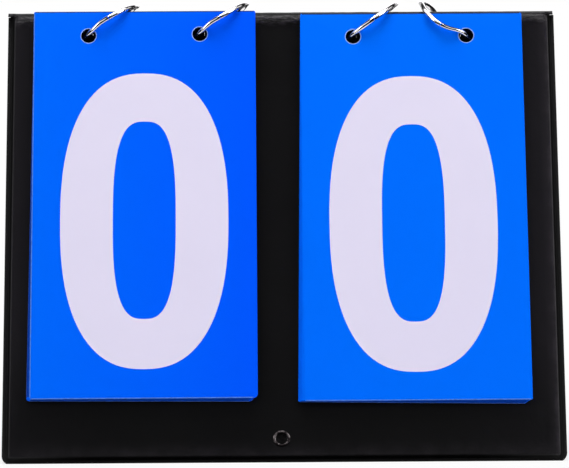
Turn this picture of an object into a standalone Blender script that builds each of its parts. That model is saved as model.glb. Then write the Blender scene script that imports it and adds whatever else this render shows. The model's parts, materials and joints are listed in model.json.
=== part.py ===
# Tabletop flip scoreboard: a folding tent of two vinyl-covered boards, with two decks of cards on rings.
# Metres, +Z up. The front board faces -Y, the spine runs along X, and the origin is on the ground
# under the middle of the spine.
import math

import bmesh
import bpy
from mathutils import Matrix, Vector

# The tent. A place on a board is given by x and by s, the distance down the slope from its top edge.
LEAN = math.radians(18)
BOARD_WIDTH = 0.2300
BOARD_LENGTH = 0.1946
BOARD_THICKNESS = 0.0028
INNER_GAP = 0.0050
TOP_Y = 0.5 * INNER_GAP + BOARD_THICKNESS / math.cos(LEAN)
TOP_Z = BOARD_LENGTH * math.cos(LEAN)
FOLD_AXIS_DROP = 0.0010

# The welded vinyl cover, the card core and the lining sheet. Depths are measured in from the outer face.
COVER_THICKNESS = 0.00045
COVER_TOP = 0.0020
CORNER_RADIUS = 0.0040
CORNER_STEPS = 4
FLANGE_DEPTH = 0.0016
SEAM_STEPS = [(0.00125, 0.0), (0.0005, -0.0002), (0.00075, 0.0011), (0.0008, 0.0007)]
OUTLINE_OVERSHOOT = 0.0040
CORE_INSET = 0.0040
CORE_TOP = 0.0025
CORE_DEPTHS = (0.0007, 0.0022)
LINER_INSET = 0.0015
LINER_TOP = 0.0020
LINER_DEPTHS = (0.00245, 0.0028)

# The soft fold along the top
SPINE_WIDTH = 0.2290
SPINE_REACH = 0.0017
SPINE_RADIUS = 0.0015
SPINE_THICKNESS = 0.0008
SPINE_ARC_STEPS = 6

# Eyelets. The large ones line the ring holes and the small one is at the middle of the bottom edge.
EYELET_STEPS = 20
HOLE_STEPS = 20
HOLE_CLEARANCE = 0.0003
EYELET_FRONT = (0.00012, 0.00042)
EYELET_REAR = (0.00292, 0.00325)
RING_BORE = 0.0043
RING_BARREL = 0.0046
RING_FLANGE = 0.0064
RING_REAR_RIM = 0.0059
SMALL_BORE = 0.0024
SMALL_BARREL = 0.00265
SMALL_FLANGE = 0.0036
SMALL_REAR_RIM = 0.0034
SMALL_EYELET = (-0.0009, 0.1846)

# The cards, counted from the outermost
CARD_COUNT = 10
CARD_WIDTH = 0.0933
CARD_HEIGHT = 0.1676
CARD_THICKNESS = 0.00028
CARD_PITCH = 0.00038
CARD_GAP = 0.0007
CARD_RADIUS = 0.0008
CARD_CORNER_STEPS = 3
CARD_HOLE_RADIUS = 0.0035
CARD_HOLE_STEPS = 18
INNERMOST = CARD_GAP + 0.5 * CARD_THICKNESS
MIDDLE_CARD = INNERMOST + 0.5 * (CARD_COUNT - 1) * CARD_PITCH
FAN_POWER = 0.5

# Each deck has its holes where they lie on the board, its cards' middle, the strip above the holes,
# how far the lowest card has slipped to the side and down, and the turns of the top and lowest cards.
# The fan's power is below 1, so that the cards near the top are spread the most.
DECKS = {
    "left": {"holes": ((-0.08091, 0.01166), (-0.03411, 0.01111)), "middle": -0.05735, "strip": 0.01055,
             "slip": (-0.00022, 0.00035), "turns": (math.radians(-0.05), math.radians(0.40))},
    "right": {"holes": ((0.0304, 0.01257), (0.07802, 0.01229)), "middle": 0.0549, "strip": 0.0102,
              "slip": (-0.00015, 0.0002), "turns": (math.radians(-0.08), math.radians(0.77))},
}

# The cards turn over about one line above the spine, where the planes of the two middle cards meet.
FLIP_RISE = (MIDDLE_CARD + TOP_Y * math.cos(LEAN)) / math.sin(LEAN)
FLIP_SLOPE = TOP_Y * math.sin(LEAN) + FLIP_RISE * math.cos(LEAN)

# The wire rings. Angles on a ring run from its apex towards the front.
WIRE_RADIUS = 0.0010
RING_RADIUS = 0.0150
RINGS = [
    {"centre": (-0.07373, 0.00044, 0.18018), "lean": 54.1, "yaw": 7.1, "board_hole": (-0.08343, 0.01011)},
    {"centre": (-0.02663, 0.00053, 0.18044), "lean": 55.3, "yaw": 8.1, "board_hole": (-0.03632, 0.00977)},
    {"centre": (0.03705, 0.00028, 0.17973), "lean": 52.0, "yaw": 4.9, "board_hole": (0.02764, 0.01083)},
    {"centre": (0.07112, 0.00034, 0.17946), "lean": -50.7, "yaw": -5.7, "board_hole": (0.08000, 0.01183)},
]
HINGE_ANGLE = math.radians(-105)
LATCH_ANGLE = math.radians(75)
LATCH_GAP = 0.0003
HINGE_REACH = math.radians(9.9)
TAB_RADIUS = 0.0016
TAB_HOLE = 0.00085
TAB_SPAN = (0.0001, 0.0009)
NECK_LENGTH = 0.0036
NECK_HEIGHT = 0.0010
PIN_RADIUS = 0.0007
PIN_HEAD = 0.0012
PIN_HEAD_SPAN = (0.0011, 0.0015)
WIRE_STEPS = 20
ROUND_STEPS = 16

MERGE = 0.00001
SMOOTH_ANGLE = math.radians(40)
GROUND_SIZE = 0.4
GROUND_DEPTH = 0.02


def clear_scene():
    for item in list(bpy.data.objects):
        bpy.data.objects.remove(item, do_unlink=True)


def collection(name):
    group = bpy.data.collections.new(name)
    bpy.context.scene.collection.children.link(group)
    return group


def material(name, color, roughness, metallic=0.0):
    result = bpy.data.materials.new(name)
    result.use_nodes = True
    shader = result.node_tree.nodes["Principled BSDF"]
    shader.inputs["Base Color"].default_value = (*color, 1.0)
    shader.inputs["Roughness"].default_value = roughness
    shader.inputs["Metallic"].default_value = metallic
    return result


def add(name, data, surface=None, parent=None, location=(0, 0, 0), rotation=(0, 0, 0), group=None):
    """An object for the data, which may be None for an empty."""
    item = bpy.data.objects.new(name, data)
    (group or PARTS).objects.link(item)
    item.parent = parent
    item.location = location
    item.rotation_euler = rotation
    if surface:
        data.materials.clear()
        data.materials.append(surface)
    return item


def as_cutter(item):
    item.hide_render = True
    item.display_type = "WIRE"
    return item


def mesh_from(bm, name):
    mesh = bpy.data.meshes.new(name)
    bm.to_mesh(mesh)
    bm.free()
    return mesh


def box_mesh(name, low, high, bottom_radius=0.0):
    """A slab between two corners. Its two lower upright corners can be rounded, seen along Y."""
    bm = bmesh.new()
    size = Vector(high) - Vector(low)
    middle = (Vector(high) + Vector(low)) / 2
    place = Matrix.Translation(middle) @ Matrix.Diagonal((*size, 1.0))
    bmesh.ops.create_cube(bm, size=1.0, matrix=place)
    if bottom_radius:
        lower = [e for e in bm.edges if all(v.co.z < middle.z for v in e.verts)]
        corners = [e for e in lower if e.verts[0].co.x == e.verts[1].co.x]
        bmesh.ops.bevel(bm, geom=corners, affect="EDGES", offset=bottom_radius, segments=CORNER_STEPS,
                        profile=0.5, material=-1)
    return mesh_from(bm, name)


def rod(bm, radius, start, end, steps, turn):
    """A closed cylinder from start to end along its own Z, then turned."""
    place = turn @ Matrix.Translation((0, 0, 0.5 * (start + end)))
    bmesh.ops.create_cone(bm, cap_ends=True, segments=steps, radius1=radius, radius2=radius,
                          depth=abs(end - start), matrix=place)


def cut(item, cutter, operation="DIFFERENCE"):
    modifier = item.modifiers.new(cutter.name, "BOOLEAN")
    modifier.object = cutter
    modifier.operation = operation
    modifier.solver = "EXACT"


def baked(item):
    """The item's evaluated shape as a mesh of its own, with its seams welded. The item goes."""
    bpy.context.view_layer.update()
    mesh = bpy.data.meshes.new_from_object(item.evaluated_get(bpy.context.evaluated_depsgraph_get()))
    bpy.data.objects.remove(item, do_unlink=True)
    bm = bmesh.new()
    bm.from_mesh(mesh)
    bmesh.ops.remove_doubles(bm, verts=bm.verts, dist=MERGE)
    bm.to_mesh(mesh)
    bm.free()
    mesh.shade_smooth()
    mesh.set_sharp_from_angle(angle=SMOOTH_ANGLE)
    return mesh


# Boards

def cover_mesh(name):
    """One open sheet: the face, and the flange, groove and ridge of the welded seam round three sides."""
    bm = bmesh.new()
    height = BOARD_LENGTH + OUTLINE_OVERSHOOT
    middle = Vector((0, FLANGE_DEPTH, OUTLINE_OVERSHOOT - 0.5 * height))
    place = Matrix.Translation(middle) @ Matrix.Rotation(math.pi / 2, 4, "X")
    place = place @ Matrix.Diagonal((BOARD_WIDTH, height, 1.0, 1.0))
    bmesh.ops.create_grid(bm, x_segments=1, y_segments=1, size=0.5, matrix=place)
    corners = [v for v in bm.verts if v.co.z < -0.5 * BOARD_LENGTH]
    bmesh.ops.bevel(bm, geom=corners, affect="VERTICES", offset=CORNER_RADIUS, segments=CORNER_STEPS,
                    profile=0.5, material=-1)
    face = max(bm.faces, key=lambda f: f.calc_area())
    for width, rise in SEAM_STEPS:
        bmesh.ops.inset_region(bm, faces=[face], use_boundary=True, use_even_offset=True, thickness=width,
                               depth=rise)
    everything = bm.verts[:] + bm.edges[:] + bm.faces[:]
    bmesh.ops.bisect_plane(bm, geom=everything, plane_co=(0, 0, -COVER_TOP), plane_no=(0, 0, 1),
                           clear_outer=True)
    return mesh_from(bm, name)


def hole_cutter(name, frame, mirror):
    """One cutter for a board's four ring holes and its small hole."""
    bm = bmesh.new()
    holes = [(*ring["board_hole"], RING_BARREL) for ring in RINGS] + [(*SMALL_EYELET, SMALL_BARREL)]
    for x, s, radius in holes:
        turn = Matrix.Translation((mirror * x, 0, -s)) @ Matrix.Rotation(math.pi / 2, 4, "X")
        rod(bm, radius + HOLE_CLEARANCE, -2 * BOARD_THICKNESS, 2 * BOARD_THICKNESS, HOLE_STEPS, turn)
    return as_cutter(add(name, mesh_from(bm, name), parent=frame, group=CUTTERS))


def eyelet_profile(name, bore, barrel, flange, rear_rim):
    """The closed section of an eyelet, from the flange down its outer side and back up the bore."""
    low, high = EYELET_FRONT
    near, far = EYELET_REAR
    shoulder = flange - 0.5 * (high - low)
    points = [(shoulder, high), (flange, 0.5 * (low + high)), (flange, low), (barrel, low), (barrel, -near),
              (rear_rim, -near), (rear_rim, -far), (bore, -far), (bore, low), (bore + (high - low), high)]
    bm = bmesh.new()
    verts = [bm.verts.new((radius, 0, height)) for radius, height in points]
    for first, second in zip(verts, verts[1:] + verts[:1]):
        bm.edges.new((first, second))
    return mesh_from(bm, name)


def eyelet(name, profile, frame, x, s):
    item = add(name, profile, METAL, frame, (x, 0, -s), (math.pi / 2, 0, 0))
    screw = item.modifiers.new("turned", "SCREW")
    screw.steps = EYELET_STEPS
    screw.render_steps = EYELET_STEPS
    screw.use_merge_vertices = True
    screw.merge_threshold = MERGE
    screw.use_smooth_shade = True
    item.modifiers.new("weld", "WELD").merge_threshold = MERGE


def board(side, frame, mirror):
    """The five kinds of piece on one board. The back board's x runs the other way, so mirror is -1."""
    holes = hole_cutter(side + "_hole_cutter", frame, mirror)
    cover = add(side + "_cover", cover_mesh(side + "_cover"), VINYL, frame)
    thickness = cover.modifiers.new("thickness", "SOLIDIFY")
    thickness.thickness = COVER_THICKNESS
    thickness.offset = -1.0
    thickness.use_even_offset = True
    half = 0.5 * BOARD_WIDTH
    low = (-half + CORE_INSET, CORE_DEPTHS[0], -BOARD_LENGTH + CORE_INSET)
    high = (half - CORE_INSET, CORE_DEPTHS[1], -CORE_TOP)
    core = add(side + "_core", box_mesh(side + "_core", low, high), CORE, frame)
    low = (-half + LINER_INSET, LINER_DEPTHS[0], -BOARD_LENGTH)
    high = (half - LINER_INSET, LINER_DEPTHS[1], -LINER_TOP)
    sheet = box_mesh(side + "_liner", low, high, CORNER_RADIUS - LINER_INSET)
    liner = add(side + "_liner", sheet, LINING, frame)
    for item in (cover, core, liner):
        cut(item, holes)
    for item in (cover, liner):
        cut(item, GROUND)
    for k, ring in enumerate(RINGS, 1):
        x, s = ring["board_hole"]
        eyelet(f"{side}_eyelet_{k}", RING_EYELET, frame, mirror * x, s)
    x, s = SMALL_EYELET
    eyelet(side + "_bottom_eyelet", SMALL_EYELET_PROFILE, frame, mirror * x, s)


def spine_section():
    """The closed outline of the fold, as y and z: round the outside from the front, then back inside."""
    shoulder = Vector((-TOP_Y + SPINE_RADIUS * (1 - math.sin(LEAN)) / math.cos(LEAN), TOP_Z - SPINE_RADIUS))
    down = Vector((-math.sin(LEAN), -math.cos(LEAN)))
    outward = Vector((-math.cos(LEAN), math.sin(LEAN)))

    def half(depth):
        radius = SPINE_RADIUS - depth
        points = [Vector((-TOP_Y, TOP_Z)) - depth * outward + SPINE_REACH * down]
        for step in range(SPINE_ARC_STEPS + 1):
            angle = LEAN + (math.pi / 2 - LEAN) * step / SPINE_ARC_STEPS
            points.append(shoulder + radius * Vector((-math.cos(angle), math.sin(angle))))
        return points

    outer = half(0.0)
    inner = half(SPINE_THICKNESS)
    outer += [Vector((-p.x, p.y)) for p in reversed(outer)]
    inner += [Vector((-p.x, p.y)) for p in reversed(inner)]
    return outer + inner[::-1]


def flat_curve(name, outlines, half_thickness):
    """A flat sheet with the first outline as its edge and the others as its holes."""
    data = bpy.data.curves.new(name, "CURVE")
    data.dimensions = "2D"
    data.fill_mode = "BOTH"
    data.extrude = half_thickness
    for points in outlines:
        spline = data.splines.new("POLY")
        spline.points.add(len(points) - 1)
        for slot, (x, y) in zip(spline.points, points):
            slot.co = (x, y, 0, 1)
        spline.use_cyclic_u = True
    return data


# Cards

def arc(centre, radius, start, end, steps):
    """Points along an arc. The angles are in degrees."""
    points = []
    for step in range(steps + 1):
        angle = math.radians(start + (end - start) * step / steps)
        points.append((centre[0] + radius * math.cos(angle), centre[1] + radius * math.sin(angle)))
    return points


def card_outlines(deck):
    """The card's edge and its two holes, measured from the middle of the two holes."""
    (x1, s1), (x2, s2) = deck["holes"]
    x, s = 0.5 * (x1 + x2), 0.5 * (s1 + s2)
    middle = deck["middle"] - x
    inner = 0.5 * CARD_WIDTH - CARD_RADIUS
    top = deck["strip"] - CARD_RADIUS
    bottom = deck["strip"] - CARD_HEIGHT + CARD_RADIUS
    edge = []
    for sx, z, start in ((1, top, 0), (-1, top, 90), (-1, bottom, 180), (1, bottom, 270)):
        edge += arc((middle + sx * inner, z), CARD_RADIUS, start, start + 90, CARD_CORNER_STEPS)
    holes = []
    for hx, hs in deck["holes"]:
        holes.append(arc((hx - x, s - hs), CARD_HOLE_RADIUS, 0, 360, CARD_HOLE_STEPS)[:-1])
    return [edge] + holes


def cards(side, deck, axis):
    data = flat_curve(side + "_card", card_outlines(deck), 0.5 * CARD_THICKNESS)
    (x1, s1), (x2, s2) = deck["holes"]
    x, s = 0.5 * (x1 + x2), 0.5 * (s1 + s2)
    for i in range(CARD_COUNT):
        height = INNERMOST + (CARD_COUNT - 1 - i) * CARD_PITCH
        share = (i / (CARD_COUNT - 1)) ** FAN_POWER
        aside, down = (share * slip for slip in deck["slip"])
        place = (x + aside, MIDDLE_CARD - height, -(FLIP_SLOPE + s + down))
        turn = deck["turns"][0] + share * (deck["turns"][1] - deck["turns"][0])
        add(f"{side}_card_{i}", data, CARD, axis, place, (math.pi / 2, turn, 0))


# Rings

def on_ring(angle):
    return Vector((0, -RING_RADIUS * math.sin(angle), RING_RADIUS * math.cos(angle)))


def wire(name, start, end, centre):
    """A stretch of the ring's wire between two angles, measured from a centre."""
    data = bpy.data.curves.new(name, "CURVE")
    data.dimensions = "3D"
    data.bevel_depth = WIRE_RADIUS
    data.bevel_resolution = 2
    data.use_fill_caps = True
    spline = data.splines.new("POLY")
    spline.points.add(WIRE_STEPS)
    for step, slot in enumerate(spline.points):
        slot.co = (*(on_ring(start + (end - start) * step / WIRE_STEPS) - centre), 1)
    item = add(name, data, group=CUTTERS)
    return add(name, baked(item), group=CUTTERS)


def hinge_tab(name, centre, direction, side):
    """The flat neck and the round tab at the end of a wire, on one side of the ring's plane."""
    near, far = sorted((side * TAB_SPAN[0], side * TAB_SPAN[1]))
    low = (near, 0, -0.5 * NECK_HEIGHT)
    high = (far, NECK_LENGTH, 0.5 * NECK_HEIGHT)
    turn = Vector((0, 1, 0)).rotation_difference(direction)
    neck = add(name + "_neck", box_mesh(name + "_neck", low, high), location=centre, group=CUTTERS)
    neck.rotation_mode = "QUATERNION"
    neck.rotation_quaternion = turn
    bm = bmesh.new()
    rod(bm, TAB_RADIUS, near, far, ROUND_STEPS, Matrix.Rotation(math.pi / 2, 4, "Y"))
    tab = add(name + "_tab", mesh_from(bm, name + "_tab"), location=centre, group=CUTTERS)
    bm = bmesh.new()
    rod(bm, TAB_HOLE, -2 * PIN_HEAD, 2 * PIN_HEAD, ROUND_STEPS, Matrix.Rotation(math.pi / 2, 4, "Y"))
    hole = add(name + "_hole", mesh_from(bm, name + "_hole"), location=centre, group=CUTTERS)
    return [as_cutter(neck), as_cutter(tab), as_cutter(hole)]


def half_ring(name, start, end, hinge_end, centre, side):
    """A wire with its hinge tab joined on and drilled. The tab's neck points along the wire."""
    item = wire(name, start, end, centre)
    along = 1 if hinge_end == start else -1
    ahead = on_ring(HINGE_ANGLE + along * HINGE_REACH) - on_ring(HINGE_ANGLE)
    shapes = hinge_tab(name, on_ring(HINGE_ANGLE) - centre, ahead.normalized(), side)
    for shape, operation in zip(shapes, ("UNION", "UNION", "DIFFERENCE")):
        cut(item, shape, operation)
    mesh = baked(item)
    for shape in shapes:
        bpy.data.objects.remove(shape, do_unlink=True)
    return mesh


def pin_mesh():
    """The pin with its two riveted heads, joined into one body."""
    turn = Matrix.Rotation(math.pi / 2, 4, "Y")
    bm = bmesh.new()
    shaft_end = 0.5 * (PIN_HEAD_SPAN[0] + PIN_HEAD_SPAN[1])
    rod(bm, PIN_RADIUS, -shaft_end, shaft_end, ROUND_STEPS, turn)
    item = add("pin", mesh_from(bm, "pin"), group=CUTTERS)
    heads = []
    for side in (-1, 1):
        bm = bmesh.new()
        rod(bm, PIN_HEAD, side * PIN_HEAD_SPAN[0], side * PIN_HEAD_SPAN[1], ROUND_STEPS, turn)
        heads.append(as_cutter(add("pin_head", mesh_from(bm, "pin_head"), group=CUTTERS)))
        cut(item, heads[-1], "UNION")
    mesh = baked(item)
    for head in heads:
        bpy.data.objects.remove(head, do_unlink=True)
    return mesh


def rings():
    """Each ring is a lower bow through the boards and cards, an upper gate over them, and the hinge pin."""
    hinge = on_ring(HINGE_ANGLE)
    gap = 0.5 * LATCH_GAP / RING_RADIUS
    full = 2 * math.pi
    bow_start = LATCH_ANGLE + gap
    bow_end = HINGE_ANGLE + full - HINGE_REACH
    bow = half_ring("bow", bow_start, bow_end, bow_end, Vector((0, 0, 0)), 1)
    gate_start = HINGE_ANGLE + HINGE_REACH
    gate = half_ring("gate", gate_start, LATCH_ANGLE - gap, gate_start, hinge, -1)
    pin = pin_mesh()
    for k, ring in enumerate(RINGS, 1):
        turn = (0, math.radians(ring["lean"]), -math.radians(ring["yaw"]))
        axis = add(f"ring_{k}_axis", None, location=ring["centre"], rotation=turn)
        add(f"ring_{k}_bow", bow, CHROME, axis)
        add(f"ring_{k}_pin", pin, CHROME, axis, hinge)
        add(f"ring_{k}_gate", gate, CHROME, axis, hinge)


clear_scene()
PARTS = collection("flip_scoreboard")
CUTTERS = collection("cutters")

VINYL = material("black_vinyl", (0.008, 0.008, 0.010), 0.45)
CORE = material("board_core", (0.30, 0.24, 0.17), 0.85)
LINING = material("lining_sheet", (0.010, 0.010, 0.012), 0.55)
METAL = material("eyelet_metal", (0.72, 0.70, 0.68), 0.28, 1.0)
CHROME = material("ring_chrome", (0.80, 0.79, 0.80), 0.12, 1.0)
CARD = material("blue_card", (0.0, 0.117, 1.0), 0.40)

RING_EYELET = eyelet_profile("ring_eyelet", RING_BORE, RING_BARREL, RING_FLANGE, RING_REAR_RIM)
SMALL_EYELET_PROFILE = eyelet_profile("small_eyelet", SMALL_BORE, SMALL_BARREL, SMALL_FLANGE,
                                      SMALL_REAR_RIM)

ground = box_mesh("ground_cutter", (-0.5 * GROUND_SIZE, -0.5 * GROUND_SIZE, -GROUND_DEPTH),
                  (0.5 * GROUND_SIZE, 0.5 * GROUND_SIZE, 0.0))
GROUND = as_cutter(add("ground_cutter", ground, group=CUTTERS))

front_frame = add("front_frame", None, location=(0, -TOP_Y, TOP_Z), rotation=(-LEAN, 0, 0))
board("front", front_frame, 1)

fold_axis = add("fold_axis", None, location=(0, 0, TOP_Z - FOLD_AXIS_DROP))
back_frame = add("back_frame", None, parent=fold_axis, location=(0, TOP_Y, FOLD_AXIS_DROP),
                 rotation=(-LEAN, 0, math.pi))
board("back", back_frame, -1)

# The outline is drawn in y and z, so the curve is turned to put its own X along the world's Y.
add("spine_fold", flat_curve("spine_fold", [spine_section()], 0.5 * SPINE_WIDTH), VINYL,
    rotation=(math.pi / 2, 0, math.pi / 2))

flip_axis = add("flip_axis", None, location=(0, 0, TOP_Z + FLIP_RISE), rotation=(-LEAN, 0, 0))
for side, deck in DECKS.items():
    cards(side, deck, flip_axis)

rings()
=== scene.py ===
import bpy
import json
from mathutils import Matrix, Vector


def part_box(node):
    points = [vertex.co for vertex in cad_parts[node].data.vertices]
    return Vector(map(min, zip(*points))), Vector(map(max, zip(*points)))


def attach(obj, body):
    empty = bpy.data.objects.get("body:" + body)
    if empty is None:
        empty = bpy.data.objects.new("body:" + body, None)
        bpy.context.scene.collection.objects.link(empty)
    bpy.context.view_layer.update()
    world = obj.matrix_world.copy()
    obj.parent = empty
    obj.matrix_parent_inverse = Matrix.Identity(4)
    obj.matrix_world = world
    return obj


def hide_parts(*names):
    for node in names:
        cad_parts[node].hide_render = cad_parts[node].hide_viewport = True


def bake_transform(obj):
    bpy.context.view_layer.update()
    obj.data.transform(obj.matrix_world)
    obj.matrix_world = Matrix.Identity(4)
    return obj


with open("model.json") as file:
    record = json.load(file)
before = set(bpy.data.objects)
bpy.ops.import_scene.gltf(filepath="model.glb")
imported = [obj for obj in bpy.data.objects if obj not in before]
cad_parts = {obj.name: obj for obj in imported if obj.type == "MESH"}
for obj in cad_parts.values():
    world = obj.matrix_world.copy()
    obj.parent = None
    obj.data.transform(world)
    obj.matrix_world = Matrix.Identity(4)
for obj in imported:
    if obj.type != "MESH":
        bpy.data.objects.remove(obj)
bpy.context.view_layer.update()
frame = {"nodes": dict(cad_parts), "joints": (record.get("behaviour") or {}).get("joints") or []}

import json
import math

import bmesh
import bpy
from mathutils import Matrix, Vector, noise

print("frame loaded,", len(frame["nodes"]), "nodes")

joints = {joint["name"]: joint for joint in frame["joints"]}

# the tent, read back from the frame: a place on a board is x, q out of its face and s down from its top edge
tent = {"axisDrop": 0.001, "slope": 0.1946, "gap": 0.005, "board": 0.0028}
lean = math.radians(-joints["fold"]["range_deg"][0] / 2)
topZ = joints["fold"]["pos_m"][2] + tent["axisDrop"]
topY = tent["gap"] / 2 + tent["board"] / math.cos(lean)
boardPlace = {
    "front": Matrix.Translation((0, -topY, topZ)) @ Matrix.Rotation(-lean, 4, "X"),
    "back": (Matrix.Translation((0, topY, topZ)) @ Matrix.Rotation(math.pi, 4, "Z")
             @ Matrix.Rotation(-lean, 4, "X")),
}
boardBody = {"front": "root", "back": "back_board"}


# shader maths

class Signal:                                  # one socket of a node tree, so that maths on it reads as Python
    def __init__(self, sheet, socket):
        self.sheet = sheet
        self.socket = socket

    def __add__(self, other): return self.sheet.maths("ADD", self, other)
    def __sub__(self, other): return self.sheet.maths("SUBTRACT", self, other)
    def __mul__(self, other): return self.sheet.maths("MULTIPLY", self, other)
    def __truediv__(self, other): return self.sheet.maths("DIVIDE", self, other)
    def __pow__(self, other): return self.sheet.maths("POWER", self, other)
    def __rsub__(self, other): return self.sheet.maths("SUBTRACT", other, self)
    def __rtruediv__(self, other): return self.sheet.maths("DIVIDE", other, self)
    __radd__ = __add__
    __rmul__ = __mul__


class Sheet:                                   # one node tree with its shader
    def __init__(self, tree):
        self.tree = tree

    def node(self, kind, settings=None, values=None, output=0):
        made = self.tree.nodes.new("ShaderNode" + kind)
        for name, value in (settings or {}).items():
            if name == "stops":
                ramp = made.color_ramp
                while len(ramp.elements) < len(value):
                    ramp.elements.new(0.5)
                for element, (place, color) in zip(ramp.elements, value):
                    element.position = place
                    element.color = (*color, 1)
            else:
                setattr(made, name, value)
        for name, value in (values or {}).items():
            self.feed(made.inputs[name], value)
        return Signal(self, made.outputs[output])

    def feed(self, socket, value):
        if isinstance(value, Signal):
            self.tree.links.new(value.socket, socket)
        elif isinstance(value, tuple) and len(value) == 3 and socket.type == "RGBA":
            socket.default_value = (*value, 1)
        else:
            socket.default_value = value

    def maths(self, operation, first, second=0.0, clamp=False):
        return self.node("Math", {"operation": operation, "use_clamp": clamp}, {0: first, 1: second})

    def clamp(self, value):
        return self.maths("ADD", value, 0.0, clamp=True)

    def smooth(self, value, low, high):        # 0 below low, 1 above high
        return self.node("MapRange", {"interpolation_type": "SMOOTHSTEP"},
                         {"Value": value, "From Min": low, "From Max": high})

    def mix(self, factor, first, second):      # colours
        return self.node("Mix", {"data_type": "RGBA"}, {0: factor, 6: first, 7: second}, output=2)

    def place(self):
        return self.node("TexCoord", output="Object")

    def turned(self, vector, angles=(0, 0, 0), scale=(1, 1, 1)):
        return self.node("Mapping", None, {"Vector": vector, "Rotation": angles, "Scale": scale})

    def axis(self, vector, name):
        return self.node("SeparateXYZ", None, {0: vector}, output=name)

    def cloud(self, vector, scale, detail=3.0, roughness=0.5):
        return self.node("TexNoise", None,
                         {"Vector": vector, "Scale": scale, "Detail": detail, "Roughness": roughness})

    def bump(self, height, strength, distance, below=None):
        values = {"Height": height, "Strength": strength, "Distance": distance}
        if below:
            values["Normal"] = below
        return self.node("Bump", None, values)


def finish(name, look, **constants):           # a material: look(sheet) gives what varies over the surface
    material = bpy.data.materials.new(name)
    material.use_nodes = True
    sheet = Sheet(material.node_tree)
    shader = material.node_tree.nodes["Principled BSDF"]
    for socket, value in {**constants, **look(sheet)}.items():
        sheet.feed(shader.inputs[socket.replace("_", " ")], value)
    return material


# finishes

# black vinyl: the lighter grey is a painted sheen towards the sides, the pale grey a painted highlight on the seam's
# ridge and the fold, and the seam colour the dull pressed seam, darkened partly with painted shade
vinyl = {"black": (0.0026, 0.0026, 0.0029), "handled": (0.0085, 0.0076, 0.0098), "worn": (0.040, 0.035, 0.042),
         "seam": (0.0008, 0.0008, 0.0010), "grain": 900.0, "rough": 0.28,
         "wrinkle": {"scale": 330.0, "stretch": 3.4, "slant": math.radians(28)},
         "handledRight": (0.060, 0.112), "handledLeft": (0.075, 0.112), "cleanFoot": (0.012, 0.060)}
lining = {"black": (0.0060, 0.0052, 0.0062), "dust": (0.012, 0.010, 0.012), "thread": 0.0007}
# black lacquer for the ring eyelets; its black also serves as painted shade inside the ring holes
lacquer = {"black": (0.004, 0.004, 0.005), "chipped": (0.06, 0.06, 0.065)}
boardCore = {"dark": (0.22, 0.17, 0.115), "light": (0.36, 0.30, 0.22)}
nickel = {"bright": (0.27, 0.24, 0.245), "dull": (0.022, 0.018, 0.020)}
chrome = {"bright": (0.92, 0.90, 0.92), "dull": (0.72, 0.69, 0.71)}
# the card blue varies with place on the tent as painted light, deeper at the middle
blue = {"left": (0.0, 0.140, 1.0), "middle": (0.0, 0.092, 1.0), "right": (0.0, 0.152, 1.0),
        # edge is the top card's paler cut edge; innerEdge is painted shade on the edges of the cards under it,
        # lastEdge painted light on the lowest card's edge
        "edge": (0.085, 0.225, 0.76), "innerEdge": (0.001, 0.062, 0.50), "lastEdge": (0.13, 0.27, 0.85),
        # rim is the top card's punched rim; innerRim is painted shade in the rims of the cards under it; topEdge is a
        # painted shade line along every card's top edge
        "rim": (0.30, 0.46, 1.0), "innerRim": (0.001, 0.006, 0.035), "topEdge": (0.003, 0.030, 0.16),
        "leftEnd": -0.105, "rightEnd": 0.103}
ink = {"light": (0.770, 0.722, 0.895), "shade": (0.730, 0.690, 0.870)}


def vinylLook(s):                              # fine grain; a painted sheen, lighter towards the sides and fading towards the foot; painted highlights on the ridge and along the fold's wrinkles; the seam dull and darkened, partly with painted shade
    place = s.place()
    grain = s.cloud(place, vinyl["grain"], 3.0, 0.55)
    pores = s.node("TexVoronoi", None, {"Vector": place, "Scale": vinyl["grain"] * 0.9}, output="Distance")
    patch = s.cloud(place, 26.0, 4.0, 0.6)
    blotch = s.smooth(s.cloud(place, 160.0, 5.0, 0.7), 0.35, 0.70)
    raised = s.node("Attribute", {"attribute_name": "raised"}, output="Fac")
    pressed = s.node("Attribute", {"attribute_name": "pressed"}, output="Fac")
    folded = s.node("Attribute", {"attribute_name": "folded"}, output="Fac")
    wrinkle = vinyl["wrinkle"]
    slanted = s.turned(place, angles=(0, wrinkle["slant"], 0), scale=(1, 1, wrinkle["stretch"]))
    streaks = s.cloud(slanted, wrinkle["scale"], 4.0, 0.6)
    x = s.axis(place, "X")
    # painted sheen: lighter towards the right and left sides, fading towards the foot
    sides = s.smooth(x, *vinyl["handledRight"]) + 0.75 * s.smooth(-1 * x, *vinyl["handledLeft"])
    handled = sides + 0.15 + 0.10 * (patch - 0.5)
    handled = handled * (0.25 + 0.75 * s.smooth(s.axis(place, "Z"), *vinyl["cleanFoot"]))
    # painted highlight: patchy on the seam's ridge, and in streaks along the wrinkled fold
    worn = s.clamp(raised * (0.25 + 0.5 * blotch) + folded * (0.06 + 0.9 * s.smooth(streaks, 0.42, 0.64)))
    height = grain * 0.6 + pores * 0.4
    plain = s.mix(worn, s.mix(s.clamp(handled), vinyl["black"], vinyl["handled"]), vinyl["worn"])
    soft = s.bump(s.cloud(place, 95.0, 4.0, 0.6), 0.35, 0.0006)
    return {
        # the seam is darker, partly painted shade, with a lighter line along it
        "Base Color": s.mix(pressed, plain, vinyl["seam"]),
        "Roughness": s.clamp(vinyl["rough"] - 0.05 + 0.10 * patch + 0.06 * grain + 0.30 * pressed),
        "Coat Weight": s.clamp(folded * (0.15 + 0.6 * streaks) + raised * 0.2),
        "Normal": s.bump(height, 0.22, 0.00006, s.bump(streaks * folded, 0.8, 0.0009, soft)),
    }


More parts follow.
